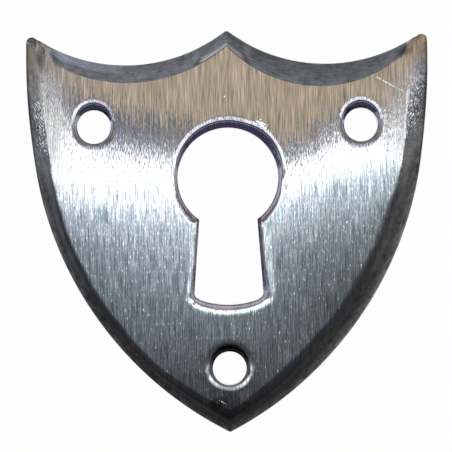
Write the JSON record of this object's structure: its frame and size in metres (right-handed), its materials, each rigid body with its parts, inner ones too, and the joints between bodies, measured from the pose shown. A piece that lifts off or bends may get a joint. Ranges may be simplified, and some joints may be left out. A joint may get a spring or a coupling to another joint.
{
  "type": "keyhole escutcheon",
  "caption": "Shield-shaped steel plate that frames a keyhole: round-headed key slot, rounded screw holes, bevelled scalloped top and brushed face.",
  "frame": {"origin": "centre of the keyhole's round head, on the flat back of the plate", "axes": "+Z out of the brushed face, +Y towards the scalloped top of the shield, +X to the right seen from the front"},
  "size_m": [0.038, 0.0381, 0.0024],
  "materials": {
    "brushed_plate": "brushed along the shield's height on the face, left grey on the bevels and the edge"
  },
  "bodies": {
    "root": {"escutcheon_plate": "brushed_plate"}
  },
  "joints": []
}
